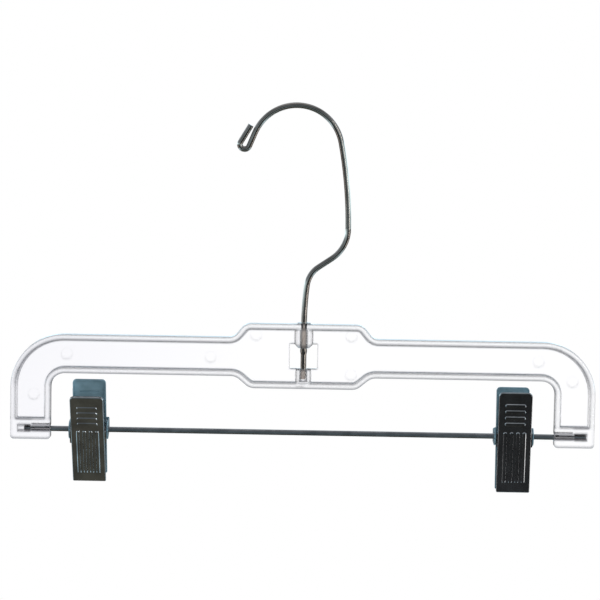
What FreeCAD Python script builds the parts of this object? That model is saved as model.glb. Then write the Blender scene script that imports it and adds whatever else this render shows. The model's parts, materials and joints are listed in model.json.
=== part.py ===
import FreeCAD, Part
import math
import os
import Sketcher

# A clear plastic skirt and trouser hanger: a moulded body, a swivelling wire hook, a steel rod between the
# legs and two sprung metal clips that slide and swing on the rod. Millimetres. X runs along the rod, -Y is
# the front, +Z is up, and the origin is the place inside the hook's crown where the rail bears.

V = FreeCAD.Vector
doc = FreeCAD.newDocument("hanger")

# ---------------------------------------------------------------- driving dimensions

DIMENSIONS = [
    # moulded body; heights are measured from the top edge of the arms
    ("overall_width", 355.6),
    ("arm_height", 23.6),
    ("leg_width", 24.4),
    ("rim_width", 3.3),
    ("rim_depth", 8.4),
    ("rim_round", 1.3),
    ("web_thickness", 2.0),
    ("panel_rise", 8.6),
    ("panel_drop", 7.2),
    ("panel_top_half", 35.4),
    ("arm_top_half", 42.4),
    ("panel_low_half", 32.6),
    ("arm_low_half", 41.2),
    ("top_bend", 7.0),
    ("low_bend", 8.0),
    ("shoulder_radius", 32.5),
    ("armpit_radius", 8.6),
    ("foot_round", 2.0),
    ("foot_height", 12.4),
    ("rod_drop", 34.5),
    # rod sockets in the feet
    ("socket_wall", 4.4),
    ("socket_split", 13.0),
    ("socket_flare", 4.2),
    # hook bosses and the window between them
    ("collar_radius", 4.0),
    ("collar_height", 0.8),
    ("barrel_radius", 5.3),
    ("barrel_end", 4.1),
    ("barrel_nose", 1.9),
    ("nose_radius", 3.3),
    ("low_boss_radius", 4.4),
    ("low_boss_top", 18.8),
    ("low_boss_round", 1.2),
    ("blind_bore_end", 26.6),
    ("window_half", 8.35),
    ("window_top", 3.7),
    ("window_low", 18.5),
    # moulding marks
    ("ejector_radius", 3.4),
    ("ejector_depth", 0.15),
    ("gate_left", 4.6),
    ("gate_right", 1.0),
    ("gate_low", 1.5),
    ("gate_top", 3.2),
    ("gate_corner", 0.8),
    ("gate_depth", 0.3),
    # swivel hook
    ("wire_radius", 1.75),
    ("swivel_play", 0.08),
    ("wire_end", 24.9),
    ("shank_length", 35.4),
    ("lean_radius", 180.0),
    ("lean_turn", 7.0),
    ("elbow_radius", 15.3),
    ("elbow_turn", 49.0),
    ("elbow_run", 9.7),
    ("knee_radius", 21.9),
    ("back_radius", 268.0),
    ("back_turn", 11.2),
    ("crown_radius", 27.4),
    ("crown_turn", 146.0),
    ("beak_run", 9.1),
    ("loop_radius", 2.85),
    ("loop_turn", 188.0),
    ("tip_run", 11.9),
    ("swage_radius", 2.1),
    ("swage_gap", 0.3),
    ("swage_length", 3.6),
    # cross rod
    ("rod_radius", 1.675),
    ("rod_play", 0.08),
    ("rod_length", 342.7),
    ("rod_end_gap", 0.3),
    ("rod_chamfer", 0.3),
    # clips
    ("left_clip_place", -130.1),
    ("right_clip_place", 128.8),
    ("left_clip_lean", 22.0),
    ("right_clip_lean", 1.5),
    ("leaf_tilt", 5.4),
    ("leaf_offset", 9.0),
    ("leaf_top", 29.6),
    ("leaf_tip", 33.0),
    ("leaf_top_half", 10.1),
    ("leaf_tip_half", 10.1),
    ("leaf_corner", 2.4),
    ("tip_corner", 0.7),
    ("sheet_metal", 0.7),
    ("edge_round", 0.5),
    ("hem_depth", 0.85),
    ("rail_depth", 2.0),
    ("rail_top", 24.0),
    ("rail_low", 25.5),
    ("toe_depth", 5.0),
    ("wing_half", 4.4),
    ("wing_corner", 0.7),
    ("ear_radius", 6.4),
    ("ear_corner", 5.2),
    ("ear_clearance", 0.5),
    ("front_ear_spread", 10.95),
    ("back_ear_spread", 11.9),
    ("rib_half_width", 1.15),
    ("rib_height", 0.45),
    ("rib_pitch", 3.85),
    ("cross_rib_half", 5.1),
    ("cross_rib_low", 10.0),
    ("long_rib_top", 4.0),
    ("long_rib_low", 26.0),
    ("groove_half_width", 0.7),
    # pivot sleeve and torsion spring
    ("sleeve_radius", 2.3),
    ("sleeve_play", 0.06),
    ("sleeve_half", 12.1),
    ("spring_radius", 3.7),
    ("spring_wire", 0.55),
    ("spring_pitch", 1.35),
    ("spring_splay", 17.7),
    ("spring_leg", 17.0),
]

sheet = doc.addObject("Spreadsheet::Sheet", "dim")
sheet.Label = "Dimensions"
for row, (alias, value) in enumerate(DIMENSIONS, start=1):
    sheet.set("A%d" % row, alias)
    sheet.set("B%d" % row, str(value))
    sheet.setAlias("B%d" % row, alias)
doc.recompute()


def value(expression):
    """The number that an expression in the sheet's names stands for."""
    return float(sheet.evalExpression(expression))


def bind(feature, **sizes):
    """Ties each named property of a feature to an expression."""
    for name, expression in sizes.items():
        feature.setExpression(name.replace("__", "."), expression)


# ---------------------------------------------------------------- small building tools


def new_body(label):
    body = doc.addObject("PartDesign::Body", label)
    body.Label = label
    return body


def origin_feature(body, role):
    for feature in body.Origin.OriginFeatures:
        if feature.Role == role:
            return feature
    raise ValueError(role)


def new_sketch(body, name, plane, lift="0"):
    """A sketch on one of the body's own planes, lifted along the plane's normal."""
    sketch = body.newObject("Sketcher::SketchObject", name)
    sketch.AttachmentSupport = [(origin_feature(body, plane), "")]
    sketch.MapMode = "FlatFace"
    sketch.setExpression("AttachmentOffset.Base.z", lift)
    return sketch


def pin_point(sketch, geometry, position, x, y):
    """Holds a point at the place given by two expressions."""
    for kind, expression in (("DistanceX", x), ("DistanceY", y)):
        index = sketch.addConstraint(
            Sketcher.Constraint(kind, -1, 1, geometry, position, value(expression))
        )
        sketch.setExpression("Constraints[%d]" % index, expression)


def add_outline(sketch, corners):
    """A closed outline. Each corner is (x, y, radius) as expressions, and a radius of None is a sharp corner."""
    places = [V(value(x), value(y), 0) for x, y, _ in corners]
    count = len(corners)
    starts, ends, arcs = [], [], []
    for i, (x, y, radius) in enumerate(corners):
        here, before, after = places[i], places[i - 1], places[(i + 1) % count]
        if radius is None:
            starts.append(here)
            ends.append(here)
            arcs.append(None)
            continue
        back, onward = (before - here).normalize(), (after - here).normalize()
        half_angle = back.getAngle(onward) / 2
        reach = value(radius) / math.tan(half_angle)
        centre = here + (back + onward).normalize() * (value(radius) / math.sin(half_angle))
        starts.append(here + back * reach)
        ends.append(here + onward * reach)
        arcs.append(centre)
    lines = [
        sketch.addGeometry(Part.LineSegment(ends[i - 1], starts[i])) for i in range(count)
    ]
    for i, (x, y, radius) in enumerate(corners):
        line_in, line_out = lines[i], lines[(i + 1) % count]
        if radius is None:
            sketch.addConstraint(Sketcher.Constraint("Coincident", line_in, 2, line_out, 1))
            pin_point(sketch, line_in, 2, x, y)
            continue
        turns_left = (places[i] - places[i - 1]).cross(places[(i + 1) % count] - places[i]).z > 0
        first, last = (starts[i], ends[i]) if turns_left else (ends[i], starts[i])
        angles = [math.atan2(p.y - arcs[i].y, p.x - arcs[i].x) for p in (first, last)]
        circle = Part.Circle(arcs[i], V(0, 0, 1), value(radius))
        arc = sketch.addGeometry(Part.ArcOfCircle(circle, angles[0], angles[1]))
        at_start, at_end = (1, 2) if turns_left else (2, 1)
        sketch.addConstraint(Sketcher.Constraint("Tangent", line_in, 2, arc, at_start))
        sketch.addConstraint(Sketcher.Constraint("Tangent", arc, at_end, line_out, 1))
        bound = sketch.addConstraint(Sketcher.Constraint("Radius", arc, value(radius)))
        sketch.setExpression("Constraints[%d]" % bound, radius)
        corner = sketch.addGeometry(Part.Point(places[i]), True)
        sketch.addConstraint(Sketcher.Constraint("PointOnObject", corner, 1, line_in))
        sketch.addConstraint(Sketcher.Constraint("PointOnObject", corner, 1, line_out))
        pin_point(sketch, corner, 1, x, y)


def mirrored_outline(corners):
    """Closes a right-hand half outline, listed from its lowest point up, with its mirror image."""
    return corners + [("-(%s)" % x, y, radius) for x, y, radius in reversed(corners)]


def add_circle(sketch, x, y, radius):
    circle = Part.Circle(V(value(x), value(y), 0), V(0, 0, 1), value(radius))
    geometry = sketch.addGeometry(circle)
    pin_point(sketch, geometry, 3, x, y)
    bound = sketch.addConstraint(Sketcher.Constraint("Radius", geometry, value(radius)))
    sketch.setExpression("Constraints[%d]" % bound, radius)


def rectangle(x0, y0, x1, y1):
    return [(x0, y0, None), (x1, y0, None), (x1, y1, None), (x0, y1, None)]


def rounded(x0, y0, x1, y1, radius):
    """A rectangle with rounded corners."""
    return [(x, y, radius) for x, y, _ in rectangle(x0, y0, x1, y1)]


def pad(body, name, sketch, length, symmetric=False, taper=None, reverse=False):
    feature = body.newObject("PartDesign::Pad", name)
    feature.Profile = sketch
    feature.SideType = "Symmetric" if symmetric else "One side"
    feature.Reversed = reverse
    bind(feature, Length=length)
    if taper:
        feature.TaperAngle = taper
    return feature


def pocket(body, name, sketch, length, symmetric=False, reverse=False):
    """A pocket, with a test that it really took material away."""
    doc.recompute()
    before = body.Shape.Volume
    feature = body.newObject("PartDesign::Pocket", name)
    feature.Profile = sketch
    feature.SideType = "Symmetric" if symmetric else "One side"
    feature.Reversed = reverse
    bind(feature, Length=length)
    doc.recompute()
    if body.Shape.Volume > before - 1e-6:
        raise RuntimeError(name + " cuts nothing")
    return feature


def turn_profile(body, kind, name, sketch, axis_role):
    feature = body.newObject("PartDesign::" + kind, name)
    feature.Profile = sketch
    feature.ReferenceAxis = (origin_feature(body, axis_role), [""])
    feature.Angle = 360
    return feature


def pattern(body, name, original, axis_role, spacing, count):
    """Repeats one feature along an axis of the body."""
    feature = body.newObject("PartDesign::LinearPattern", name)
    feature.Originals = [original]
    feature.Direction = (origin_feature(body, axis_role), [""])
    bind(feature, Length="%s * %d" % (spacing, count - 1))
    feature.Occurrences = count
    body.Tip = feature
    return feature


def mirror(body, name, originals, plane_role):
    feature = body.newObject("PartDesign::Mirrored", name)
    feature.Originals = originals
    feature.MirrorPlane = (origin_feature(body, plane_role), [""])
    body.Tip = feature
    return feature


def round_edges(body, name, radius, wanted):
    """Fillets every edge of the body's present shape that the test picks."""
    doc.recompute()
    base = body.Tip
    names = ["Edge%d" % n for n, e in enumerate(base.Shape.Edges, start=1) if wanted(e)]
    if not names:
        raise RuntimeError(name + " finds no edge")
    feature = body.newObject("PartDesign::Fillet", name)
    feature.Base = (base, names)
    bind(feature, Radius=radius)
    return feature


# ---------------------------------------------------------------- moulded body

HALF = "dim.overall_width / 2"
LEG_IN = "(dim.overall_width / 2 - dim.leg_width)"
PANEL_LOW = "-(dim.arm_height + dim.panel_drop)"
ROD_LEVEL = "-(dim.arm_height + dim.rod_drop)"
FOOT_LOW = "-(dim.arm_height + dim.rod_drop + dim.foot_height / 2)"
SHELF = "-(dim.arm_height + dim.rod_drop - dim.foot_height / 2)"
# a sloping step keeps its slope in the inner outline when its corners move by these amounts
TOP_SHIFT = "dim.rim_width * tan(atan(dim.panel_rise / (dim.arm_top_half - dim.panel_top_half)) / 2)"
LOW_SHIFT = "dim.rim_width * tan(atan(dim.panel_drop / (dim.arm_low_half - dim.panel_low_half)) / 2)"

OUTER_OUTLINE = mirrored_outline([
    ("dim.panel_low_half", PANEL_LOW, "dim.low_bend"),
    ("dim.arm_low_half", "-dim.arm_height", "dim.low_bend"),
    (LEG_IN, "-dim.arm_height", "dim.armpit_radius"),
    (LEG_IN, FOOT_LOW, "dim.foot_round"),
    (HALF, FOOT_LOW, "dim.foot_round"),
    (HALF, "0", "dim.shoulder_radius"),
    ("dim.arm_top_half", "0", "dim.top_bend"),
    ("dim.panel_top_half", "dim.panel_rise", "dim.top_bend"),
])
INNER_OUTLINE = mirrored_outline([
    ("dim.panel_low_half - " + LOW_SHIFT, PANEL_LOW + " + dim.rim_width", "dim.low_bend - dim.rim_width"),
    ("dim.arm_low_half - " + LOW_SHIFT, "dim.rim_width - dim.arm_height", "dim.low_bend + dim.rim_width"),
    (LEG_IN + " + dim.rim_width", "dim.rim_width - dim.arm_height", "dim.armpit_radius + dim.rim_width"),
    (LEG_IN + " + dim.rim_width", SHELF, None),
    (HALF + " - dim.rim_width", SHELF, None),
    (HALF + " - dim.rim_width", "-dim.rim_width", "dim.shoulder_radius - dim.rim_width"),
    ("dim.arm_top_half - " + TOP_SHIFT, "-dim.rim_width", "dim.top_bend + dim.rim_width"),
    ("dim.panel_top_half - " + TOP_SHIFT, "dim.panel_rise - dim.rim_width", "dim.top_bend - dim.rim_width"),
])
# places of the round moulding marks on the web, from the swivel axis and the arms' top edge
EJECTOR_MARKS = [(-144.0, -12.0), (-164.0, -37.0), (-56.5, -12.5), (-29.0, 1.5), (29.0, 1.5),
                 (29.0, -22.0), (143.0, -12.0), (164.0, -24.0)]


def on_level(edge, level):
    """True for an edge that lies flat at that distance in front of or behind the middle plane."""
    return edge.BoundBox.YLength < 0.001 and abs(abs(edge.BoundBox.YMin) - level) < 0.001


def make_hanger_body():
    body = new_body("hanger_body")

    web_sketch = new_sketch(body, "web_outline", "XZ_Plane")
    add_outline(web_sketch, OUTER_OUTLINE)
    pad(body, "web", web_sketch, "dim.web_thickness", symmetric=True)

    rim_sketch = new_sketch(body, "rim_outline", "XZ_Plane")
    add_outline(rim_sketch, OUTER_OUTLINE)
    add_outline(rim_sketch, INNER_OUTLINE)
    pad(body, "rim", rim_sketch, "dim.rim_depth", symmetric=True)
    doc.recompute()
    face_level = value("dim.rim_depth / 2")
    outer_wall = web_sketch.Shape.Wires[0].extrude(V(0, 2 * face_level, 0))
    outer_wall.translate(V(0, -face_level, 0))

    def on_outer_wall(edge):
        middle = edge.valueAt((edge.FirstParameter + edge.LastParameter) / 2)
        return on_level(edge, face_level) and outer_wall.isInside(middle, 0.01, True)

    round_edges(body, "rim_rounding", "dim.rim_round", on_outer_wall)

    window_sketch = new_sketch(body, "window_outline", "XZ_Plane")
    add_outline(window_sketch, rectangle("-dim.window_half", "-dim.window_low", "dim.window_half", "-dim.window_top"))
    pocket(body, "window", window_sketch, "dim.rim_depth", symmetric=True)
    make_bosses(body)
    make_sockets(body)
    make_marks(body)
    return body


def make_bosses(body):
    """The barrel that the hook turns in, with its rounded nose in the window, and the boss for the wire's end."""
    rim_low = "dim.panel_rise - dim.rim_width"
    upper = new_sketch(body, "barrel_profile", "XZ_Plane")
    add_outline(upper, [
        ("0", "dim.panel_rise + dim.collar_height", None),
        ("0", "-(dim.barrel_end + dim.barrel_nose)", None),
        ("dim.nose_radius", "-(dim.barrel_end + dim.barrel_nose)", "dim.barrel_nose / 2"),
        ("dim.barrel_radius", "-dim.barrel_end", "dim.barrel_nose / 2"),
        ("dim.barrel_radius", rim_low, None),
        ("dim.collar_radius", rim_low, None),
        ("dim.collar_radius", "dim.panel_rise + dim.collar_height", None),
    ])
    turn_profile(body, "Revolution", "barrel", upper, "Z_Axis")

    lower = new_sketch(body, "low_boss_profile", "XZ_Plane")
    low_end = PANEL_LOW + " + dim.rim_width / 2"
    add_outline(lower, [
        ("0", "-dim.low_boss_top", None),
        ("0", low_end, None),
        ("dim.rim_depth / 2 - dim.rim_round", low_end, None),
        ("dim.rim_depth / 2 - dim.rim_round", PANEL_LOW + " + dim.rim_width", None),
        ("dim.low_boss_radius", PANEL_LOW + " + dim.rim_width", None),
        ("dim.low_boss_radius", "-dim.low_boss_top", "dim.low_boss_round"),
    ])
    turn_profile(body, "Revolution", "low_boss", lower, "Z_Axis")
    doc.recompute()

    before = body.Shape.Volume
    bore = new_sketch(body, "bore_profile", "XZ_Plane")
    add_outline(bore, rectangle("0", "-dim.blind_bore_end", "dim.wire_radius + dim.swivel_play",
                                "dim.panel_rise + 2 * dim.collar_height"))
    turn_profile(body, "Groove", "hook_bore", bore, "Z_Axis")
    doc.recompute()
    if body.Shape.Volume > before - 1:
        raise RuntimeError("the hook bore cuts nothing")


def make_sockets(body):
    """Each foot holds the rod's end in two half cradles: the inner one is open behind, the outer one in front."""
    bore_radius = "dim.rod_radius + dim.rod_play"
    split = LEG_IN + " + dim.socket_split - 1"
    end_wall = HALF + " - dim.socket_wall"
    channel = new_sketch(body, "socket_channel_profile", "YZ_Plane", LEG_IN + " - 1")
    add_circle(channel, "0", ROD_LEVEL, bore_radius)
    channel_cut = pocket(body, "socket_channel", channel, "dim.leg_width - dim.socket_wall + 1", reverse=True)

    front = new_sketch(body, "front_mouth_profile", "YZ_Plane", split)
    add_outline(front, [
        ("0", "%s - (%s)" % (ROD_LEVEL, bore_radius), None),
        ("0", "%s + (%s)" % (ROD_LEVEL, bore_radius), None),
        ("-dim.rim_depth", "%s + dim.socket_flare" % ROD_LEVEL, None),
        ("-dim.rim_depth", "%s - (%s)" % (ROD_LEVEL, bore_radius), None),
    ])
    front_cut = pocket(body, "front_mouth", front, "%s - (%s)" % (end_wall, split), reverse=True)

    rear = new_sketch(body, "rear_mouth_profile", "YZ_Plane", LEG_IN + " - 1")
    add_outline(rear, [
        ("0", "%s - (%s)" % (ROD_LEVEL, bore_radius), None),
        ("dim.rim_depth", "%s - (%s)" % (ROD_LEVEL, bore_radius), None),
        ("dim.rim_depth", "%s + dim.socket_flare" % ROD_LEVEL, None),
        ("0", "%s + (%s)" % (ROD_LEVEL, bore_radius), None),
    ])
    rear_cut = pocket(body, "rear_mouth", rear, "%s - (%s - 1)" % (split, LEG_IN), reverse=True)
    mirror(body, "left_sockets", [channel_cut, front_cut, rear_cut], "YZ_Plane")


def make_marks(body):
    """Shallow ejector marks on the back of the web and the trimmed gate on the lower rim."""
    marks = new_sketch(body, "ejector_marks_outline", "XZ_Plane", "-dim.web_thickness / 2")
    for x, z in EJECTOR_MARKS:
        add_circle(marks, str(x), str(z), "dim.ejector_radius")
    pocket(body, "ejector_marks", marks, "dim.ejector_depth", reverse=True)

    gate = new_sketch(body, "gate_outline", "XZ_Plane", "dim.rim_depth / 2")
    gate_low, gate_top = PANEL_LOW + " + dim.gate_low", PANEL_LOW + " + dim.gate_top"
    add_outline(gate, rounded("-dim.gate_left", gate_low, "dim.gate_right", gate_top, "dim.gate_corner"))
    pocket(body, "gate_mark", gate, "dim.gate_depth")


# ---------------------------------------------------------------- swivel hook

# The wire as it is bent, from its lower end: runs (length) and bends (radius, turn; left is positive).
HOOK_STEPS = [
    ("run", "dim.shank_length"),
    ("bend", "dim.lean_radius", "-dim.lean_turn"),
    ("bend", "dim.elbow_radius", "-dim.elbow_turn"),
    ("run", "dim.elbow_run"),
    ("bend", "dim.knee_radius", "dim.lean_turn + dim.elbow_turn"),
    ("bend", "dim.back_radius", "dim.back_turn"),
    ("bend", "dim.crown_radius", "dim.crown_turn"),
    ("run", "dim.beak_run"),
    ("bend", "dim.loop_radius", "-dim.loop_turn"),
    ("run", "dim.tip_run"),
]


def add_wire_path(sketch, steps):
    """Draws the bent wire's centre line from the sketch's origin, heading up, as tangent lines and arcs.
    Gives back the highest point of the line."""
    here, heading = V(0, 0, 0), math.pi / 2
    last = None
    highest = V(0, 0, 0)
    for step in steps:
        if step[0] == "run":
            there = here + V(math.cos(heading), math.sin(heading), 0) * value(step[1])
            geometry = sketch.addGeometry(Part.LineSegment(here, there))
            start, end = 1, 2
            size = Sketcher.Constraint("Distance", geometry, value(step[1]))
        else:
            radius, turn = value(step[1]), math.radians(value(step[2]))
            side = 1 if turn > 0 else -1
            centre = here + V(-math.sin(heading), math.cos(heading), 0) * radius * side
            first, final = heading - side * math.pi / 2, heading + turn - side * math.pi / 2
            low, high = min(first, final), max(first, final)
            circle = Part.Circle(centre, V(0, 0, 1), radius)
            geometry = sketch.addGeometry(Part.ArcOfCircle(circle, low, high))
            there = centre + V(math.cos(final), math.sin(final), 0) * radius
            start, end = (1, 2) if side > 0 else (2, 1)
            size = Sketcher.Constraint("Radius", geometry, radius)
            heading += turn
            if low < math.pi / 2 < high:
                highest = centre + V(0, radius, 0)
        bound = sketch.addConstraint(size)
        sketch.setExpression("Constraints[%d]" % bound, step[1])
        if last is None:
            sketch.addConstraint(Sketcher.Constraint("Coincident", -1, 1, geometry, 1))
            sketch.addConstraint(Sketcher.Constraint("Vertical", geometry))
        else:
            sketch.addConstraint(Sketcher.Constraint("Tangent", last[0], last[1], geometry, start))
        last = (geometry, end)
        here = there
    return highest


def make_swivel_hook():
    body = new_body("swivel_hook")
    spine = new_sketch(body, "wire_line", "XZ_Plane")
    crown = add_wire_path(spine, HOOK_STEPS)
    section = new_sketch(body, "wire_section", "XY_Plane")
    add_circle(section, "0", "0", "dim.wire_radius")
    wire = body.newObject("PartDesign::AdditivePipe", "wire")
    wire.Profile = section
    wire.Spine = spine
    wire.Transition = "Transformed"

    # the swaged swelling that the barrel's nose rests on: flat above, tapering away below
    shoulder = "dim.wire_end - dim.barrel_end - dim.barrel_nose - dim.swage_gap"
    swage = new_sketch(body, "swage_profile", "XZ_Plane")
    add_outline(swage, [
        ("0", shoulder, None),
        ("0", "%s - dim.swage_length" % shoulder, None),
        ("dim.wire_radius", "%s - dim.swage_length" % shoulder, None),
        ("dim.swage_radius", "%s - dim.swage_length / 2" % shoulder, None),
        ("dim.swage_radius", shoulder, None),
    ])
    turn_profile(body, "Revolution", "swage", swage, "Z_Axis")
    return body, crown


# ---------------------------------------------------------------- cross rod


def make_cross_rod():
    """The rod lies along X and reaches nearly to the right-hand socket's end wall."""
    body = new_body("cross_rod")
    section = new_sketch(body, "rod_section", "YZ_Plane", "%s - dim.socket_wall - dim.rod_end_gap" % HALF)
    add_circle(section, "0", "0", "dim.rod_radius")
    pad(body, "rod", section, "dim.rod_length", reverse=True)
    doc.recompute()
    rod = body.Tip
    rims = ["Edge%d" % n for n, e in enumerate(rod.Shape.Edges, start=1) if e.BoundBox.XLength < 0.001]
    chamfer = body.newObject("PartDesign::Chamfer", "rod_ends")
    chamfer.Base = (rod, rims)
    bind(chamfer, Size="dim.rod_chamfer")
    return body


# ---------------------------------------------------------------- clips

LEAF_OUTLINE = mirrored_outline([
    ("dim.leaf_tip_half", "-dim.leaf_tip", "dim.tip_corner"),
    ("dim.leaf_top_half", "dim.leaf_top", "dim.leaf_corner"),
])
LEAF_INNER = mirrored_outline([
    ("dim.leaf_tip_half - dim.sheet_metal", "dim.sheet_metal - dim.leaf_tip", None),
    ("dim.leaf_top_half - dim.sheet_metal", "dim.leaf_top - dim.sheet_metal", "dim.leaf_corner - dim.sheet_metal"),
])
CROSS_RIBS = 4
LONG_RIBS = 4
RIB_FLANK = 42  # degrees that a bead's sides lean in
OVERLAP = 0.01  # how far a bead starts inside the sheet
NEARLY_ROUND = 0.98  # a corner radius as a share of half the side, so that a short straight piece is left


def slot_outline(x0, y0, x1, y1, half_width):
    """A bead or groove seen from the front: a bar about the line between two points, with round ends."""
    return rounded("%s - %s" % (x0, half_width), "%s - %s" % (y0, half_width),
                   "%s + %s" % (x1, half_width), "%s + %s" % (y1, half_width),
                   "%s * %s" % (half_width, NEARLY_ROUND))


def make_leaf(label, spread):
    """A stamped leaf, seen from its outer side: pivot axis along X through the origin, handle up, outer face
    towards -Y. The ears stand at +-spread."""
    body = new_body(label)
    inner_face = "dim.leaf_offset - dim.sheet_metal"
    plate = new_sketch(body, "plate_outline", "XZ_Plane", inner_face)
    add_outline(plate, LEAF_OUTLINE)
    pad(body, "plate", plate, "dim.sheet_metal")

    hem = new_sketch(body, "hem_outline", "XZ_Plane", inner_face)
    add_outline(hem, LEAF_OUTLINE)
    add_outline(hem, LEAF_INNER)
    pad(body, "hem", hem, "dim.hem_depth", reverse=True)
    outer_level = value("dim.leaf_offset")
    round_edges(body, "edge_rounding", "dim.edge_round", lambda edge: on_level(edge, outer_level))

    rails = new_sketch(body, "rail_outline", "XZ_Plane", inner_face)
    clear = "(dim.ear_radius + dim.ear_clearance)"
    for sign in ("", "-"):
        for low, high in (("-dim.rail_low", "-" + clear), (clear, "dim.rail_top")):
            add_outline(rails, rectangle("%s(dim.leaf_top_half - dim.sheet_metal)" % sign, low,
                                         "%sdim.leaf_top_half" % sign, high))
    pad(body, "rails", rails, "dim.rail_depth", reverse=True)

    toe = new_sketch(body, "toe_outline", "XZ_Plane", inner_face)
    toe_half = "dim.leaf_tip_half - dim.tip_corner"
    add_outline(toe, rectangle("-(%s)" % toe_half, "-dim.leaf_tip", toe_half, "dim.sheet_metal - dim.leaf_tip"))
    pad(body, "toe", toe, "dim.toe_depth", reverse=True)

    # the wings carry the ears, which widen from the wings to a round end past the pivot
    wings = new_sketch(body, "wing_outline", "XZ_Plane", inner_face)
    add_outline(wings, rounded("-(%s)" % spread, "-dim.wing_half", spread, "dim.wing_half", "dim.wing_corner"))
    pad(body, "wings", wings, "dim.sheet_metal - dim.edge_round / 2")

    ear = new_sketch(body, "ear_outline", "YZ_Plane", "%s - dim.sheet_metal" % spread)
    ear_root, root_half = "-(%s) - dim.sheet_metal / 2" % inner_face, "dim.wing_half - dim.wing_corner"
    add_outline(ear, [
        (ear_root, "-(%s)" % root_half, None),
        ("dim.ear_radius", "-dim.ear_radius", "dim.ear_corner"),
        ("dim.ear_radius", "dim.ear_radius", "dim.ear_corner"),
        (ear_root, root_half, None),
    ])
    ear_pad = pad(body, "right_ear", ear, "dim.sheet_metal")
    mirror(body, "left_ear", [ear_pad], "YZ_Plane")

    pivot = new_sketch(body, "pivot_outline", "YZ_Plane")
    add_circle(pivot, "0", "0", "dim.sleeve_radius + dim.sleeve_play")
    pocket(body, "pivot_holes", pivot, "4 * dim.back_ear_spread", symmetric=True)
    make_ribs(body, inner_face)
    return body


def make_ribs(body, inner_face):
    """Pressed beads: four across the handle and four along the jaw, with the hollows of the press behind them."""
    half_span = "dim.rib_pitch * %s" % ((LONG_RIBS - 1) / 2)
    cross = ("-dim.cross_rib_half", "dim.cross_rib_low", "dim.cross_rib_half", "dim.cross_rib_low")
    along = ("-(%s)" % half_span, "-dim.long_rib_low", "-(%s)" % half_span, "dim.long_rib_top")
    for name, (x0, y0, x1, y1), axis, count in (("cross", cross, "Z_Axis", CROSS_RIBS),
                                               ("long", along, "X_Axis", LONG_RIBS)):
        bead = new_sketch(body, name + "_rib_outline", "XZ_Plane", "dim.leaf_offset - %s" % OVERLAP)
        add_outline(bead, slot_outline(x0, y0, x1, y1, "dim.rib_half_width"))
        bead_pad = pad(body, name + "_rib", bead, "dim.rib_height + %s" % OVERLAP, taper=-RIB_FLANK)
        pattern(body, name + "_ribs", bead_pad, axis, "dim.rib_pitch", count)

        hollow = new_sketch(body, name + "_groove_outline", "XZ_Plane", inner_face)
        add_outline(hollow, slot_outline(x0, y0, x1, y1, "dim.groove_half_width"))
        hollow_cut = pocket(body, name + "_groove", hollow, "dim.rib_height", reverse=True)
        pattern(body, name + "_grooves", hollow_cut, axis, "dim.rib_pitch", count)


def make_sleeve(label):
    """The tube that the leaves turn on, along X about the origin."""
    body = new_body(label)
    section = new_sketch(body, "tube_section", "YZ_Plane")
    add_circle(section, "0", "0", "dim.sleeve_radius")
    add_circle(section, "0", "0", "dim.rod_radius + dim.rod_play")
    pad(body, "tube", section, "2 * dim.sleeve_half", symmetric=True)
    return body


SPRING_COILS = 5  # the last one stops short, where the legs leave the coil


def make_spring(label):
    """A coil about X with a leg up each handle. The left-hand leg presses the front leaf, the right-hand one the
    back leaf. The coil is wound about the helix object's own Z, so every piece is turned to lie along X."""
    lay_along_x = FreeCAD.Rotation(V(1, 1, 1), 120)
    splay = value("dim.spring_splay")
    coil_length = "dim.spring_pitch * (%d - (180 + 2 * dim.spring_splay) / 360)" % SPRING_COILS
    half_length = value(coil_length) / 2
    coil_line = doc.addObject("Part::Helix", label + "_line")
    bind(coil_line, Radius="dim.spring_radius", Pitch="dim.spring_pitch", Height=coil_length)
    start_turn = FreeCAD.Rotation(V(0, 0, 1), 180 + splay)
    coil_line.Placement = FreeCAD.Placement(lay_along_x.multVec(V(0, 0, -half_length)), lay_along_x * start_turn)
    section = doc.addObject("Part::Circle", label + "_section")
    bind(section, Radius="dim.spring_wire")
    start = coil_line.Placement.multVec(V(value("dim.spring_radius"), 0, 0))
    section.Placement = FreeCAD.Placement(start, coil_line.Placement.Rotation * FreeCAD.Rotation(V(1, 0, 0), -90))
    coil = doc.addObject("Part::Sweep", label + "_coil")
    coil.Sections = [section]
    coil.Spine = (coil_line, ["Edge1"])
    coil.Solid = True
    coil.Frenet = True

    pieces = [coil]
    for name, side in (("front", -1), ("back", 1)):
        angle = math.radians(splay)
        radius = value("dim.spring_radius")
        foot = V(side * half_length, side * radius * math.cos(angle), -radius * math.sin(angle))
        lean = FreeCAD.Rotation(V(1, 0, 0), -side * splay)
        leg = doc.addObject("Part::Cylinder", "%s_%s_leg" % (label, name))
        bind(leg, Radius="dim.spring_wire", Height="dim.spring_leg")
        leg.Placement = FreeCAD.Placement(foot, lean)
        knuckle = doc.addObject("Part::Sphere", "%s_%s_knuckle" % (label, name))
        bind(knuckle, Radius="dim.spring_wire")
        knuckle.Placement = FreeCAD.Placement(foot, FreeCAD.Rotation())
        pieces += [leg, knuckle]
    spring = doc.addObject("Part::MultiFuse", label)
    spring.Label = label
    spring.Shapes = pieces
    return spring


# ---------------------------------------------------------------- assembly

hanger_body = make_hanger_body()
swivel_hook, crown = make_swivel_hook()
cross_rod = make_cross_rod()

# the crown's inner side is the origin, and the swivel axis stands beside it
swivel_x = -crown.x
wire_foot_z = -(crown.y - value("dim.wire_radius"))
arm_top_z = wire_foot_z + value("dim.wire_end")
rod_z = arm_top_z + value(ROD_LEVEL)

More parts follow.
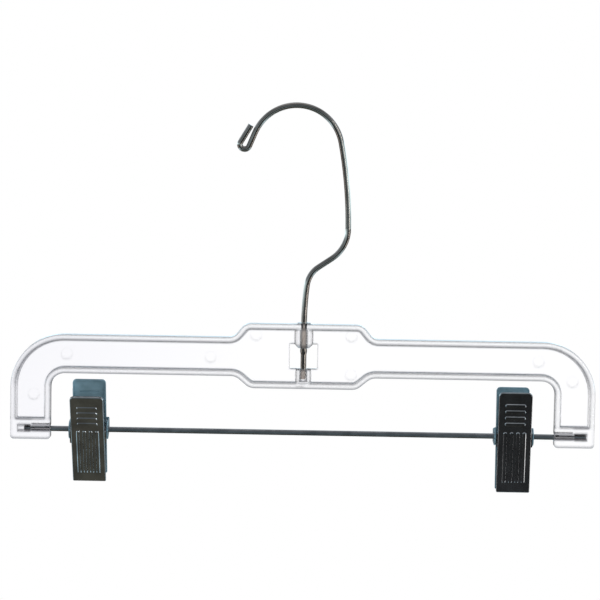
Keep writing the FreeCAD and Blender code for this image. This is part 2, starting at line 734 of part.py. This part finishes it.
swivel_hook.Placement = FreeCAD.Placement(V(swivel_x, 0, wire_foot_z), FreeCAD.Rotation())
hanger_body.Placement = FreeCAD.Placement(V(swivel_x, 0, arm_top_z), FreeCAD.Rotation())
cross_rod.Placement = FreeCAD.Placement(V(swivel_x, 0, rod_z), FreeCAD.Rotation())

nodes = [hanger_body, swivel_hook, cross_rod]
for side in ("left", "right"):
    place = V(swivel_x + value("dim.%s_clip_place" % side), 0, rod_z)
    lean = value("dim.%s_clip_lean" % side)
    tilt = value("dim.leaf_tilt")
    half_turn = FreeCAD.Rotation(V(0, 0, 1), 180)
    clip_parts = [
        (make_leaf(side + "_clip_front_leaf", "dim.front_ear_spread"), FreeCAD.Rotation(V(1, 0, 0), lean + tilt)),
        (make_leaf(side + "_clip_back_leaf", "dim.back_ear_spread"),
         FreeCAD.Rotation(V(1, 0, 0), lean - tilt) * half_turn),
        (make_sleeve(side + "_clip_sleeve"), FreeCAD.Rotation(V(1, 0, 0), lean)),
        (make_spring(side + "_clip_spring"), FreeCAD.Rotation(V(1, 0, 0), lean)),
    ]
    for part, turn in clip_parts:
        part.Placement = FreeCAD.Placement(place, turn)
        nodes.append(part)

doc.recompute()

# ---------------------------------------------------------------- checks and export

for item in doc.Objects:
    if "Invalid" in item.State or "Error" in item.State:
        raise RuntimeError("%s failed: %s" % (item.Name, item.State))
os.makedirs("parts", exist_ok=True)
for node in nodes:
    if node.Shape.isNull() or not node.Shape.isValid() or len(node.Shape.Solids) != 1:
        raise RuntimeError(node.Label + " isn't one valid solid")
    node.Shape.exportStep("parts/%s.step" % node.Label)
    print(node.Label, round(node.Shape.Volume, 1), node.Shape.BoundBox)
print("swivel axis x", round(swivel_x, 3), "arm top z", round(arm_top_z, 3), "rod z", round(rod_z, 3))
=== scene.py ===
import json
import math

import bmesh
import bpy
from mathutils import Matrix, Vector


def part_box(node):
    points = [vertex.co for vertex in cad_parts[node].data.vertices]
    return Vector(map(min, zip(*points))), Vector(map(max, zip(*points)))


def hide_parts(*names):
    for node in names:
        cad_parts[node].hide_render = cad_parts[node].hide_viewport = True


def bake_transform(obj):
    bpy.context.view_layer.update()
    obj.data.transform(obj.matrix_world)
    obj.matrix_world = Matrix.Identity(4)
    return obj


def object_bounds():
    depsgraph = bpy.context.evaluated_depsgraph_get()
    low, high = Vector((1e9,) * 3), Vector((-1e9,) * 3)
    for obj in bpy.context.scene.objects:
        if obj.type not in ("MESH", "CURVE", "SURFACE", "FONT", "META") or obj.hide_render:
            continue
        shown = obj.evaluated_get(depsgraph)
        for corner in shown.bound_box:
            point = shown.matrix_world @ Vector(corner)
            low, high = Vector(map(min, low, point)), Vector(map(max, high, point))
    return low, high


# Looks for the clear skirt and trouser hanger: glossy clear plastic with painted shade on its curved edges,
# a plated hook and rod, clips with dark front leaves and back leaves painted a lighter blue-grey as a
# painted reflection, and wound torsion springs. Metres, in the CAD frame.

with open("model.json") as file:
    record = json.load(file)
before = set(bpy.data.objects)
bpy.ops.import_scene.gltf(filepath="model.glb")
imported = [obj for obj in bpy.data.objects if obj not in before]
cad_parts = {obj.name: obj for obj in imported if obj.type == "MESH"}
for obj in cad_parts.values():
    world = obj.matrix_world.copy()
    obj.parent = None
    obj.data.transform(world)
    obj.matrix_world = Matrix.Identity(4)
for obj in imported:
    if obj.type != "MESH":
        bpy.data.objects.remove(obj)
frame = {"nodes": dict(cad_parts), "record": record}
cad_low, cad_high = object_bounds()

MM = 0.001
SIDES = ("left", "right")


# ---------------------------------------------------------------- node tools

# The colour sockets of a Mix node, which share their names with its number sockets.
MIX_FIRST = 6
MIX_SECOND = 7
MIX_RESULT = 2
BUMP_STRENGTH = 0.3


def new_material(name):
    """A material and its Principled shader."""
    material = bpy.data.materials.new(name)
    material.use_nodes = True
    return material, material.node_tree.nodes["Principled BSDF"]


def add_node(tree, kind, inputs=None, **settings):
    """A shader node with its settings and inputs. A socket is linked to its input, and a value is set."""
    node = tree.nodes.new("ShaderNode" + kind)
    for key, setting in settings.items():
        setattr(node, key, setting)
    for key, source in (inputs or {}).items():
        if isinstance(source, bpy.types.NodeSocket):
            tree.links.new(source, node.inputs[key])
        else:
            node.inputs[key].default_value = source
    return node


def object_place(tree, stretch=(1, 1, 1)):
    """The place on the object in metres, stretched along its axes."""
    place = add_node(tree, "TexCoord").outputs["Object"]
    return add_node(tree, "Mapping", {"Vector": place, "Scale": stretch}).outputs["Vector"]


def noise(tree, place, scale, detail, roughness=0.5):
    inputs = {"Vector": place, "Scale": scale, "Detail": detail, "Roughness": roughness}
    return add_node(tree, "TexNoise", inputs).outputs["Fac"]


def opaque(colour):
    """The colour with full alpha; a number stands for that grey."""
    return (*colour, 1) if isinstance(colour, tuple) else (colour, colour, colour, 1)


def ramp(tree, factor, stops):
    """A colour ramp through (position, colour) stops."""
    node = add_node(tree, "ValToRGB", {"Fac": factor})
    elements = node.color_ramp.elements
    while len(elements) < len(stops):
        elements.new(1.0)
    for element, (position, colour) in zip(elements, stops):
        element.position = position
        element.color = opaque(colour)
    return node.outputs["Color"]


def mix(tree, factor, first, second, blend="MIX"):
    """Two colours mixed by the factor. Each one is a socket, a colour or a grey."""
    node = add_node(tree, "Mix", {"Factor": factor}, data_type="RGBA", blend_type=blend)
    for index, source in ((MIX_FIRST, first), (MIX_SECOND, second)):
        if isinstance(source, bpy.types.NodeSocket):
            tree.links.new(source, node.inputs[index])
        else:
            node.inputs[index].default_value = opaque(source)
    return node.outputs[MIX_RESULT]


def times(tree, first, second):
    return mix(tree, 1.0, first, second, "MULTIPLY")


def spread(tree, factor, low, high):
    """Maps 0..1 to low..high."""
    return add_node(tree, "MapRange", {"Value": factor, "To Min": low, "To Max": high}).outputs["Result"]


def absolute(tree, value):
    return add_node(tree, "Math", {0: value}, operation="ABSOLUTE").outputs["Value"]


def split(tree, vector):
    """The X, Y and Z of a vector, as the outputs of a node."""
    return add_node(tree, "SeparateXYZ", {"Vector": vector}).outputs


def bump(tree, height, distance, normal=None):
    """A slight relief from the height, on top of the normal where one is given."""
    inputs = {"Height": height, "Distance": distance, "Strength": BUMP_STRENGTH}
    if normal is not None:
        inputs["Normal"] = normal
    return add_node(tree, "Bump", inputs).outputs["Normal"]


# ---------------------------------------------------------------- materials

# Stops of the plastic's painted shade: the softened surface is painted darker by how far it turns down,
# sideways or up, in place of the dark that its curved walls refract.
TURNED_DOWN = [(0.0, 1.0), (0.12, (0.6, 0.605, 0.62)), (0.45, (0.36, 0.365, 0.38)), (1.0, 0.2)]
TURNED_SIDEWAYS = [(0.12, 1.0), (0.5, (0.82, 0.825, 0.84)), (1.0, 0.45)]
TURNED_UP = [(0.1, 1.0), (0.5, (0.95, 0.955, 0.96)), (1.0, 0.85)]
CORNER_SOFTNESS = 2.0 * MM
CORNER_SAMPLES = 6
CLEAR = (1.0, 1.0, 1.0)
CLOUDY = (0.955, 0.955, 0.97)
HAZY = (0.985, 0.985, 0.99)
CLOUDIEST_X = -170 * MM
CLEAREST_X = -20 * MM
HAZE_SCALE = 14
FLOW_SCALE = 90
FLOW_STRETCH = (0.25, 1, 1)
FLOW_RELIEF = 0.04 * MM
SCUFF_SCALE = 900
SCUFF_STRETCH = (1, 1, 0.3)
SCUFF_STOPS = [(0.58, 0.0), (0.75, 1.0)]
GLOSSY, SCUFFED = 0.01, 0.08
PLASTIC_IOR = 1.5
PLASTIC_SPECULAR = 0.35

GRAIN_SCALE = 700
GRAIN_RELIEF = 0.03 * MM
SMOOTHER, ROUGHER = 0.7, 1.4
TONE_SCALE = 120
TONE_STOPS = [(0.35, 0.0), (0.7, 1.0)]
PIT_SCALE = 2600
PIT_STOPS = [(0.66, 0.0), (0.74, 1.0)]
PIT_SHADE = 0.35


def clear_plastic():
    """Clear moulded plastic: rounded corners painted with shade where they turn down, sideways or up, a
    faint cloudiness that grows towards the left, flow marks and handling scuffs."""
    material, shader = new_material("clear_plastic")
    tree = material.node_tree
    place = object_place(tree)
    flow = noise(tree, object_place(tree, FLOW_STRETCH), FLOW_SCALE, detail=2)
    scratches = noise(tree, object_place(tree, SCUFF_STRETCH), SCUFF_SCALE, detail=4, roughness=0.7)
    scuffs = ramp(tree, scratches, SCUFF_STOPS)
    soft = add_node(tree, "Bevel", {"Radius": CORNER_SOFTNESS}, samples=CORNER_SAMPLES).outputs["Normal"]
    facing = split(tree, soft)
    downward = add_node(tree, "Math", {0: facing["Z"], 1: -1.0}, operation="MULTIPLY").outputs["Value"]
    under = ramp(tree, downward, TURNED_DOWN)
    beside = ramp(tree, absolute(tree, facing["X"]), TURNED_SIDEWAYS)
    above = ramp(tree, facing["Z"], TURNED_UP)
    # Painted shade: the softened corners are darkened where they turn down, sideways or up.
    edge_painted_shade = times(tree, under, times(tree, beside, above))
    leftward = add_node(tree, "MapRange", {
        "Value": split(tree, place)["X"],
        "From Min": CLOUDIEST_X,
        "From Max": CLEAREST_X,
        "To Min": 1.0,
        "To Max": 0.0,
    }).outputs["Result"]
    cloud = mix(tree, leftward, CLEAR, CLOUDY)
    # The cloudiness counts a second time in patches, where this noise is high.
    haze = mix(tree, noise(tree, place, HAZE_SCALE, detail=2), HAZY, cloud, "MULTIPLY")
    tree.links.new(times(tree, edge_painted_shade, times(tree, cloud, haze)), shader.inputs["Base Color"])
    tree.links.new(spread(tree, scuffs, GLOSSY, SCUFFED), shader.inputs["Roughness"])
    tree.links.new(bump(tree, flow, FLOW_RELIEF, soft), shader.inputs["Normal"])
    shader.inputs["Transmission Weight"].default_value = 1.0
    shader.inputs["IOR"].default_value = PLASTIC_IOR
    shader.inputs["Specular IOR Level"].default_value = PLASTIC_SPECULAR
    return material


def plated_steel(name, colour, dark, roughness, grain_stretch, wear=0.5, metallic=1.0):
    """Plated steel with drawing or pressing grain, an uneven tone, and small pits darkened by the wear."""
    material, shader = new_material(name)
    tree = material.node_tree
    place = object_place(tree)
    grain = noise(tree, object_place(tree, grain_stretch), GRAIN_SCALE, detail=4, roughness=0.6)
    clouds = noise(tree, place, TONE_SCALE, detail=3)
    pits = ramp(tree, noise(tree, place, PIT_SCALE, detail=2, roughness=0.6), PIT_STOPS)
    tone = mix(tree, ramp(tree, clouds, TONE_STOPS), colour, dark)
    pit_colour = tuple(channel * PIT_SHADE for channel in dark)
    tree.links.new(mix(tree, spread(tree, pits, 0.0, wear), tone, pit_colour), shader.inputs["Base Color"])
    polish = spread(tree, grain, roughness * SMOOTHER, roughness * ROUGHER)
    tree.links.new(polish, shader.inputs["Roughness"])
    tree.links.new(bump(tree, grain, GRAIN_RELIEF), shader.inputs["Normal"])
    shader.inputs["Metallic"].default_value = metallic
    return material


# ---------------------------------------------------------------- torsion springs

COIL_RADIUS = 3.7 * MM
COIL_PITCH = 1.35 * MM
SPRING_WIRE = 0.55 * MM
LEG_LENGTH = 17 * MM
LEG_SPLAY = math.radians(17.7)
FULL_TURNS = 5
COILS = FULL_TURNS - (math.pi + 2 * LEG_SPLAY) / (2 * math.pi)
COIL_STEPS = 160
LEG_STEPS = 6
WIRE_SEGMENTS = 14


def mesh_object(name, mesh):
    """An object in the scene with the shape of the bmesh, which is freed."""
    data = bpy.data.meshes.new(name)
    mesh.to_mesh(data)
    mesh.free()
    piece = bpy.data.objects.new(name, data)
    bpy.context.scene.collection.objects.link(piece)
    return piece


def tube_mesh(name, points, radius):
    """A closed round tube along the points, with its frame carried along so that it doesn't twist."""
    mesh = bmesh.new()
    tangents = [(points[min(i + 1, len(points) - 1)] - points[max(i - 1, 0)]).normalized()
                for i in range(len(points))]
    side = tangents[0].orthogonal().normalized()
    rings = []
    for point, tangent in zip(points, tangents):
        side = (side - tangent * side.dot(tangent)).normalized()
        up = tangent.cross(side)
        rings.append([mesh.verts.new(point + (side * math.cos(a) + up * math.sin(a)) * radius)
                      for a in (2 * math.pi * k / WIRE_SEGMENTS for k in range(WIRE_SEGMENTS))])
    for ring, following in zip(rings, rings[1:]):
        for k in range(WIRE_SEGMENTS):
            beside = (k + 1) % WIRE_SEGMENTS
            mesh.faces.new((ring[k], ring[beside], following[beside], following[k]))
    mesh.faces.new(list(reversed(rings[0])))
    mesh.faces.new(rings[-1])
    bmesh.ops.recalc_face_normals(mesh, faces=mesh.faces)
    piece = mesh_object(name, mesh)
    for face in piece.data.polygons:
        face.use_smooth = len(face.vertices) == 4
    return piece


def torsion_spring(side):
    """The wound spring of one clip. Its leg at the left presses the front leaf and the one at the right the
    back leaf."""
    sleeve_low, sleeve_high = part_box(side + "_clip_sleeve")
    rod_low, rod_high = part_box("cross_rod")
    pivot = Vector(((sleeve_low.x + sleeve_high.x) / 2, 0, (rod_low.z + rod_high.z) / 2))
    jaw = next(mount for mount in frame["record"]["mounts"] if mount["name"] == side + "_jaw")
    lean = math.atan2(jaw["axis"][1], -jaw["axis"][2])
    half = COILS * COIL_PITCH / 2
    start = math.pi + LEG_SPLAY
    end = 2 * math.pi * FULL_TURNS - LEG_SPLAY
    coil = []
    for k in range(COIL_STEPS + 1):
        share = k / COIL_STEPS
        angle = start + (end - start) * share
        along = (2 * share - 1) * half
        coil.append(Vector((along, COIL_RADIUS * math.cos(angle), COIL_RADIUS * math.sin(angle))))
    legs = []
    for side_sign, foot in ((-1, coil[0]), (1, coil[-1])):
        way = Vector((0, side_sign * math.sin(LEG_SPLAY), math.cos(LEG_SPLAY)))
        legs.append([foot + way * LEG_LENGTH * k / LEG_STEPS for k in range(1, LEG_STEPS + 1)])
    points = list(reversed(legs[0])) + coil + legs[1]
    turn = Matrix.Rotation(lean, 3, "X")
    spring = tube_mesh(side + "_torsion_spring", [pivot + turn @ point for point in points], SPRING_WIRE)
    spring.data.materials.append(finishes["spring_steel"])
    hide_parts(side + "_clip_spring")
    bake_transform(spring)


# ---------------------------------------------------------------- surroundings

# What the metal mirrors, from straight down at 0 to straight up at 1. The horizon is at 0.5.
MIRRORED_TONES = [
    (0.0, (0.12, 0.12, 0.1)),
    (0.11, (0.1, 0.1, 0.083)),
    (0.18, (0.5, 0.72, 0.85)),
    (0.25, (0.06, 0.065, 0.07)),
    (0.335, (0.026, 0.026, 0.026)),
    (0.45, (0.06, 0.062, 0.064)),
    (0.52, (0.55, 0.75, 0.85)),
    (0.6, (0.15, 0.18, 0.21)),
    (0.9, (0.2, 0.23, 0.26)),
    (1.0, (0.6, 0.65, 0.7)),
]
GAIN_SIDEWAYS = [(0.0, 0.33), (0.5, 0.4), (0.8, 0.85), (1.0, 1.0)]
GAIN_BEHIND = [(0.1, 0.4), (0.6, 1.0)]
WORLD_STRENGTH = 7.0

# What shines through the clear plastic, from the foot of its field at 0 to the top at 1.
FIELD_MIDDLE = (1.06, 1.06, 1.07)
FIELD_FOOT = (0.3, 0.3, 0.32)
FIELD_TOP = (0.5, 0.5, 0.52)
FIELD_STOPS = [(0.22, FIELD_FOOT), (0.36, FIELD_MIDDLE), (0.66, FIELD_MIDDLE), (0.85, FIELD_TOP)]
SWEEP_WHITE = (1, 1, 1)
SWEEP_RADIUS = 7.0
FIELD_RADIUS = 6.0
SHELL_SUBDIVISIONS = 5
FLOOR_LEVEL = -1.7
FLOOR_PALE = (0.93, 0.93, 0.93)
FLOOR_ROUGHNESS = 0.9


def glow_material(name, colour):
    """A material that shines with a plain colour, or with the socket that a function of its tree gives."""
    material = bpy.data.materials.new(name)
    material.use_nodes = True
    tree = material.node_tree
    tree.nodes.remove(tree.nodes["Principled BSDF"])
    source = colour(tree) if callable(colour) else opaque(colour)
    glow = add_node(tree, "Emission", {"Color": source, "Strength": 1.0})
    tree.links.new(glow.outputs["Emission"], tree.nodes["Material Output"].inputs["Surface"])
    return material


def studio_world():
    """What the metal mirrors: an olive floor, blue bands low down and just above a dark horizon, and a dim
    blue-grey top, all of it brighter to the sides and behind the object."""
    world = bpy.data.worlds.new("studio")
    bpy.context.scene.world = world
    world.use_nodes = True
    tree = world.node_tree
    parts = split(tree, add_node(tree, "TexCoord").outputs["Generated"])
    height = add_node(tree, "MapRange", {"Value": parts["Z"], "From Min": -1.0}).outputs["Result"]
    tone = ramp(tree, height, MIRRORED_TONES)
    gain = ramp(tree, absolute(tree, parts["X"]), GAIN_SIDEWAYS)
    behind = ramp(tree, parts["Y"], GAIN_BEHIND)
    background = tree.nodes["Background"]
    tree.links.new(times(tree, times(tree, tone, gain), behind), background.inputs["Color"])
    background.inputs["Strength"].default_value = WORLD_STRENGTH


def studio_shell(name, centre, radius, material):
    """A sphere all round the object, seen from inside."""
    mesh = bmesh.new()
    where = Matrix.Translation(centre)
    bmesh.ops.create_icosphere(mesh, subdivisions=SHELL_SUBDIVISIONS, radius=radius, matrix=where)
    bmesh.ops.reverse_faces(mesh, faces=mesh.faces)
    shell = mesh_object(name, mesh)
    shell.data.materials.append(material)
    shell.visible_glossy = False
    return shell


def backdrop(centre):
    """A white sweep that the camera sees, and the field that shines through the clear plastic: white across
    the middle and dim above and below, so that curved walls are drawn dark."""
    sweep = studio_shell("studio_sweep", centre, SWEEP_RADIUS, glow_material("sweep_white", SWEEP_WHITE))
    sweep.visible_transmission = False

    def field_colour(tree):
        level = add_node(tree, "MapRange", {
            "Value": split(tree, add_node(tree, "NewGeometry").outputs["Position"])["Z"],
            "From Min": centre.z - FIELD_RADIUS,
            "From Max": centre.z + FIELD_RADIUS,
        }).outputs["Result"]
        return ramp(tree, level, FIELD_STOPS)

    field = studio_shell("bright_field", centre, FIELD_RADIUS, glow_material("field_white", field_colour))
    field.visible_camera = False
    field.visible_diffuse = False
    field.visible_shadow = False


def pale_floor(centre, level):
    """The studio's floor, well under the hanging object."""
    mesh = bmesh.new()
    where = Matrix.Translation((centre.x, centre.y, level))
    bmesh.ops.create_grid(mesh, x_segments=2, y_segments=2, size=FIELD_RADIUS, matrix=where)
    floor = mesh_object("floor", mesh)
    material, shader = new_material("floor_pale")
    shader.inputs["Base Color"].default_value = opaque(FLOOR_PALE)
    shader.inputs["Roughness"].default_value = FLOOR_ROUGHNESS
    floor.data.materials.append(material)
    floor.visible_glossy = False
    floor.visible_transmission = False


def soft_box(name, place, target, width, height, power):
    """A rectangular lamp at the place, turned to the target, that the camera and the plastic don't show."""
    light = bpy.data.lights.new(name, "AREA")
    light.shape = "RECTANGLE"
    light.size = width
    light.size_y = height
    light.energy = power
    lamp = bpy.data.objects.new(name, light)
    lamp.location = place
    lamp.rotation_mode = "QUATERNION"
    lamp.rotation_quaternion = (target - place).to_track_quat("-Z", "Y")
    lamp.visible_camera = False
    lamp.visible_transmission = False
    bpy.context.scene.collection.objects.link(lamp)


def add_camera(aim, distance, elevation, roll, lens):
    """Looks at the aim from the front, from above by the elevation, turned by the roll on its own axis."""
    data = bpy.data.cameras.new("camera")
    data.sensor_width = CAMERA_SENSOR
    data.lens = lens
    data.clip_end = CAMERA_REACH
    camera = bpy.data.objects.new("camera", data)
    back = Vector((0, -math.cos(elevation), math.sin(elevation)))
    camera.rotation_mode = "QUATERNION"
    camera.location = aim + back * distance
    turned = (-back).to_track_quat("-Z", "Y").to_matrix().to_4x4() @ Matrix.Rotation(roll, 4, "Z")
    camera.rotation_quaternion = turned.to_quaternion()
    bpy.context.scene.collection.objects.link(camera)
    bpy.context.scene.camera = camera


# ---------------------------------------------------------------- the object

WIRE_GREY = (0.4, 0.35, 0.31)
WIRE_DARK = (0.28, 0.25, 0.22)
ROD_GREY = (0.36, 0.35, 0.35)
ROD_DARK = (0.24, 0.24, 0.24)
LEAF_GREY = (0.5, 0.5, 0.5)
LEAF_DARK = (0.34, 0.34, 0.34)
SLEEVE_GREY = (0.5, 0.51, 0.53)
SLEEVE_DARK = (0.36, 0.37, 0.39)
SPRING_GREY = (0.42, 0.43, 0.45)
SPRING_DARK = (0.28, 0.29, 0.31)
# Painted reflection: the back leaves are the same plated sheet as the front ones, coloured a lighter
# blue-grey in place of the blue-grey they mirror.
PAINTED_REFLECTION_BLUE = (0.28, 0.44, 0.52)
PAINTED_REFLECTION_DARK_BLUE = (0.18, 0.3, 0.36)
POLISHED, PRESSED, BACK_LEAF_ROUGHNESS, DULL = 0.12, 0.14, 0.22, 0.25
GRAIN_OF_HOOK = (1, 1, 0.15)
GRAIN_OF_ROD = (0.1, 1, 1)
GRAIN_OF_LEAF = (1, 1, 0.2)
GRAIN_OF_SLEEVE = (0.2, 1, 1)
GRAIN_OF_SPRING = (1, 1, 1)
LEAF_WEAR = 0.4
BACK_LEAF_METALLIC = 0.45

finishes = {
    "clear_plastic": clear_plastic(),
    "hook_wire": plated_steel("hook_wire", WIRE_GREY, WIRE_DARK, POLISHED, GRAIN_OF_HOOK),
    "rod_steel": plated_steel("rod_steel", ROD_GREY, ROD_DARK, POLISHED, GRAIN_OF_ROD),
    "clip_sheet": plated_steel("clip_sheet", LEAF_GREY, LEAF_DARK, PRESSED, GRAIN_OF_LEAF, wear=LEAF_WEAR),
    "sleeve_steel": plated_steel("sleeve_steel", SLEEVE_GREY, SLEEVE_DARK, DULL, GRAIN_OF_SLEEVE),
    "spring_steel": plated_steel("spring_steel", SPRING_GREY, SPRING_DARK, DULL, GRAIN_OF_SPRING),
}
# The back leaves get a lighter blue-grey, less metallic copy of the sheet so that they catch the white
# sweep: a painted reflection.
blue_zinc = plated_steel("blue_zinc", PAINTED_REFLECTION_BLUE, PAINTED_REFLECTION_DARK_BLUE, BACK_LEAF_ROUGHNESS, GRAIN_OF_LEAF,
                         wear=LEAF_WEAR, metallic=BACK_LEAF_METALLIC)
slot_of = {part["node"]: part["material_slot"] for part in frame["record"]["subparts"]}
for node, piece in frame["nodes"].items():
    piece.data.materials.clear()
    piece.data.materials.append(blue_zinc if node.endswith("back_leaf") else finishes[slot_of[node]])
for side in SIDES:
    torsion_spring(side)

# ---------------------------------------------------------------- studio and camera

# Name, place from the object's middle and width and height in metres, and power in watts.
SOFT_BOXES = (
    ("right_box", (1.3, -1.2, 0.35), 0.2, 1.4, 5),
    ("low_right_box", (1.7, -0.3, -0.6), 0.3, 0.8, 2.2),
    ("low_left_box", (-1.7, -0.3, -0.5), 0.3, 0.8, 1.1),
)
body_low, body_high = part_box("hanger_body")
centre = (cad_low + cad_high) / 2

studio_world()
backdrop(centre)
pale_floor(centre, FLOOR_LEVEL)
for name, offset, width, height, power in SOFT_BOXES:
    soft_box(name, centre + Vector(offset), centre, width, height, power)

CAMERA_SENSOR = 36.0
CAMERA_REACH = 100.0
CAMERA_DISTANCE = 1.452
CAMERA_ELEVATION = math.radians(5.5)
CAMERA_ROLL = 0.0175
CAMERA_LENS = 143.6
AIM_FROM_MIDDLE = -2.75 * MM
AIM_HEIGHT = -116.0 * MM
aim = Vector(((body_low.x + body_high.x) / 2 + AIM_FROM_MIDDLE, 0, AIM_HEIGHT))
add_camera(aim, CAMERA_DISTANCE, CAMERA_ELEVATION, CAMERA_ROLL, CAMERA_LENS)
bpy.context.scene.view_settings.view_transform = "Standard"
